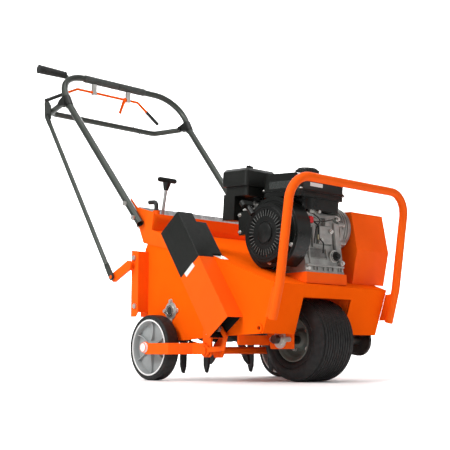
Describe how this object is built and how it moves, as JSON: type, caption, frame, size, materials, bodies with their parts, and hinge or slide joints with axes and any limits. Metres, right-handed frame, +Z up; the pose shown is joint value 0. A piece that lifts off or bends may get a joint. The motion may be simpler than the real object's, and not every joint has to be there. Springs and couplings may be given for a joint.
{
  "type": "core aerator",
  "caption": "Walk-behind lawn aerator: a petrol engine on a steel housing drives a tined drum and a ribbed front wheel, with lift wheels and a tubular handlebar.",
  "frame": {"origin": "middle of the footprint on the ground", "axes": "+Z up, -Y is the front with the ribbed drive wheel, -X is the machine's right side"},
  "size_m": [0.68, 1.2897, 1.1635],
  "materials": {
    "housing": "gloss",
    "rear_box": "gloss",
    "rear_tray": "satin",
    "engine_pedestal": "gloss",
    "axle_carrier": "gloss",
    "pivot_brackets": "gloss",
    "shaft_bearings": "satin",
    "crankcase": "cast",
    "reduction_case": "cast",
    "cylinder_block": "cast",
    "blower_housing": "satin",
    "recoil_cover": "matte",
    "fuel_tank": "satin",
    "air_cleaner": "matte",
    "carburettor": "cast",
    "muffler": "satin",
    "roll_bar": "gloss",
    "belt_guard": "gloss",
    "spring_guard": "gloss",
    "spring_guard_cap": "matte",
    "assist_spring": "satin",
    "handlebar": "satin",
    "handlebar_sleeves": "matte",
    "side_grip": "matte",
    "handlebar_clamps": "satin",
    "lift_channels": "gloss",
    "fasteners": "satin",
    "drive_belt": "matte",
    "drive_chains": "satin",
    "carriage_bar": "gloss",
    "wheel_arms": "gloss",
    "rear_rim_right": "satin",
    "rear_tyre_right": "matte",
    "rear_rim_left": "satin",
    "rear_tyre_left": "matte",
    "lift_rockshaft": "gloss",
    "lift_link": "satin",
    "lift_rod": "satin",
    "lift_bail": "satin",
    "spring_drawbar": "satin",
    "drum_shaft": "satin",
    "tine_hubs": "satin",
    "tines": "satin",
    "front_tyre": "matte",
    "front_rim": "satin",
    "front_axle": "satin",
    "jackshaft": "satin",
    "output_shaft": "satin",
    "clutch_bar": "gloss",
    "clutch_bar_grips": "matte",
    "clutch_cable": "satin",
    "idler_arm": "satin",
    "idler_pulley": "satin",
    "depth_knob": "matte",
    "latch_lever": "satin",
    "starter_grip": "matte",
    "engine_switch": "gloss",
    "throttle_lever": "matte",
    "fuel_cap": "matte"
  },
  "bodies": {
    "frame": {"housing": "housing", "rear_box": "rear_box", "rear_tray": "rear_tray", "engine_pedestal": "engine_pedestal", "axle_carrier": "axle_carrier", "pivot_brackets": "pivot_brackets", "shaft_bearings": "shaft_bearings", "crankcase": "crankcase", "reduction_case": "reduction_case", "cylinder_block": "cylinder_block", "blower_housing": "blower_housing", "recoil_cover": "recoil_cover", "fuel_tank": "fuel_tank", "air_cleaner": "air_cleaner", "carburettor": "carburettor", "muffler": "muffler", "roll_bar": "roll_bar", "belt_guard": "belt_guard", "spring_guard": "spring_guard", "spring_guard_cap": "spring_guard_cap", "assist_spring": "assist_spring", "handlebar": "handlebar", "handlebar_sleeves": "handlebar_sleeves", "side_grip": "side_grip", "handlebar_clamps": "handlebar_clamps", "lift_channels": "lift_channels", "fasteners": "fasteners", "drive_belt": "drive_belt", "drive_chains": "drive_chains"},
    "wheel_carriage": {"carriage_bar": "carriage_bar", "wheel_arms": "wheel_arms"},
    "rear_wheel_right": {"rear_rim_right": "rear_rim_right", "rear_tyre_right": "rear_tyre_right"},
    "rear_wheel_left": {"rear_rim_left": "rear_rim_left", "rear_tyre_left": "rear_tyre_left"},
    "rockshaft": {"lift_rockshaft": "lift_rockshaft"},
    "lift_link": {"lift_link": "lift_link"},
    "lift_rod": {"lift_rod": "lift_rod"},
    "bail": {"lift_bail": "lift_bail"},
    "drawbar": {"spring_drawbar": "spring_drawbar"},
    "tine_drum": {"drum_shaft": "drum_shaft", "tine_hubs": "tine_hubs", "tines": "tines"},
    "front_wheel": {"front_tyre": "front_tyre", "front_rim": "front_rim", "front_axle": "front_axle"},
    "jackshaft": {"jackshaft": "jackshaft"},
    "output_shaft": {"output_shaft": "output_shaft"},
    "clutch_bar": {"clutch_bar": "clutch_bar", "clutch_bar_grips": "clutch_bar_grips"},
    "clutch_cable": {"clutch_cable": "clutch_cable"},
    "idler_arm": {"idler_arm": "idler_arm"},
    "idler_pulley": {"idler_pulley": "idler_pulley"},
    "depth_knob": {"depth_knob": "depth_knob"},
    "latch_lever": {"latch_lever": "latch_lever"},
    "starter_grip": {"starter_grip": "starter_grip"},
    "engine_switch": {"engine_switch": "engine_switch"},
    "throttle_lever": {"throttle_lever": "throttle_lever"},
    "fuel_cap": {"fuel_cap": "fuel_cap"}
  },
  "joints": [
    {"name": "carriage_lift", "type": "hinge", "parent": "frame", "child": "wheel_carriage", "pos_m": [0.017, -0.27115, 0.091], "axis": [1, 0, 0], "range_deg": [0, 27]},
    {"name": "rear_wheel_right_spin", "type": "hinge", "parent": "wheel_carriage", "child": "rear_wheel_right", "pos_m": [-0.262, -0.05715, 0.1], "axis": [1, 0, 0], "continuous": true},
    {"name": "rear_wheel_left_spin", "type": "hinge", "parent": "wheel_carriage", "child": "rear_wheel_left", "pos_m": [0.296, -0.05715, 0.1], "axis": [1, 0, 0], "continuous": true},
    {"name": "rockshaft_turn", "type": "hinge", "parent": "frame", "child": "rockshaft", "pos_m": [0.017, 0.06385, 0.363], "axis": [1, 0, 0], "range_deg": [-59.41, 0.01]},
    {"name": "lift_link_pivot", "type": "hinge", "parent": "rockshaft", "child": "lift_link", "pos_m": [-0.209, 0.05309, 0.40829], "axis": [1, 0, 0], "range_deg": [-0.01, 45.63]},
    {"name": "lift_rod_pivot", "type": "hinge", "parent": "rockshaft", "child": "lift_rod", "pos_m": [-0.292, 0.14385, 0.33], "axis": [1, 0, 0], "range_deg": [-0.01, 59.41]},
    {"name": "bail_swing", "type": "hinge", "parent": "frame", "child": "bail", "pos_m": [0.017, 0.53285, 1.009], "axis": [1, 0, 0], "range_deg": [-59.41, 0.01]},
    {"name": "drawbar_slide", "type": "slide", "parent": "frame", "child": "drawbar", "axis": [0, -0.4789, -0.8779], "range_m": [-0.00001, 0.04422]},
    {"name": "tine_drum_spin", "type": "hinge", "parent": "frame", "child": "tine_drum", "pos_m": [0.017, -0.09115, 0.213], "axis": [1, 0, 0], "continuous": true},
    {"name": "front_wheel_spin", "type": "hinge", "parent": "frame", "child": "front_wheel", "pos_m": [0.017, -0.45015, 0.1223], "axis": [1, 0, 0], "continuous": true},
    {"name": "jackshaft_spin", "type": "hinge", "parent": "frame", "child": "jackshaft", "pos_m": [0.175, -0.18215, 0.45], "axis": [1, 0, 0], "continuous": true},
    {"name": "output_shaft_spin", "type": "hinge", "parent": "frame", "child": "output_shaft", "pos_m": [0.167, -0.45015, 0.462], "axis": [1, 0, 0], "continuous": true},
    {"name": "clutch_bar_squeeze", "type": "hinge", "parent": "frame", "child": "clutch_bar", "pos_m": [0.017, 0.56885, 1.092], "axis": [1, 0, 0], "range_deg": [0, 28], "stiffness_Nm_per_rad": 2, "springref_deg": -20.05},
    {"name": "clutch_cable_pull", "type": "slide", "parent": "frame", "child": "clutch_cable", "axis": [0.0223, 0.7589, 0.6509], "range_m": [-0.00001, 0.02606]},
    {"name": "idler_arm_swing", "type": "hinge", "parent": "frame", "child": "idler_arm", "pos_m": [0.197, -0.25115, 0.461], "axis": [1, 0, 0], "range_deg": [-0.01, 9.34]},
    {"name": "idler_pulley_spin", "type": "hinge", "parent": "idler_arm", "child": "idler_pulley", "pos_m": [0.182, -0.31115, 0.436], "axis": [1, 0, 0], "continuous": true},
    {"name": "depth_knob_turn", "type": "hinge", "parent": "frame", "child": "depth_knob", "pos_m": [-0.153, 0.06585, 0.489], "axis": [0, -0.2176, 0.976], "continuous": true},
    {"name": "latch_lever_turn", "type": "hinge", "parent": "frame", "child": "latch_lever", "pos_m": [-0.203, 0.02085, 0.54], "axis": [0, 0, 1], "range_deg": [0, 90]},
    {"name": "starter_grip_pull", "type": "slide", "parent": "frame", "child": "starter_grip", "axis": [0, 0.6353, 0.7723], "range_m": [0, 0.025], "stiffness_N_per_m": 150, "springref_m": -0.01},
    {"name": "engine_switch_rock", "type": "hinge", "parent": "frame", "child": "engine_switch", "pos_m": [-0.065, -0.54015, 0.465], "axis": [1, 0, 0], "range_deg": [0, 8]},
    {"name": "throttle_lever_turn", "type": "hinge", "parent": "frame", "child": "throttle_lever", "pos_m": [-0.097, -0.31715, 0.522], "axis": [1, 0, 0], "range_deg": [-20, 15]},
    {"name": "fuel_cap_turn", "type": "hinge", "parent": "frame", "child": "fuel_cap", "pos_m": [-0.009, -0.47843, 0.62022], "axis": [0, -0.0785, 0.9969], "range_deg": [0, 90]}
  ],
  "couplings": [
    {"joint": "rockshaft_turn", "follows": "carriage_lift", "ratio": -2.2},
    {"joint": "lift_link_pivot", "follows": "carriage_lift", "ratio": 1.6896},
    {"joint": "lift_rod_pivot", "follows": "carriage_lift", "ratio": 2.2},
    {"joint": "bail_swing", "follows": "carriage_lift", "ratio": -2.2},
    {"joint": "drawbar_slide", "follows": "carriage_lift", "m_per_rad": 0.093793},
    {"joint": "front_wheel_spin", "follows": "tine_drum_spin", "ratio": 1.5837},
    {"joint": "jackshaft_spin", "follows": "tine_drum_spin", "ratio": 3},
    {"joint": "clutch_cable_pull", "follows": "clutch_bar_squeeze", "m_per_rad": 0.053126},
    {"joint": "idler_arm_swing", "follows": "clutch_bar_squeeze", "ratio": 0.3333}
  ]
}
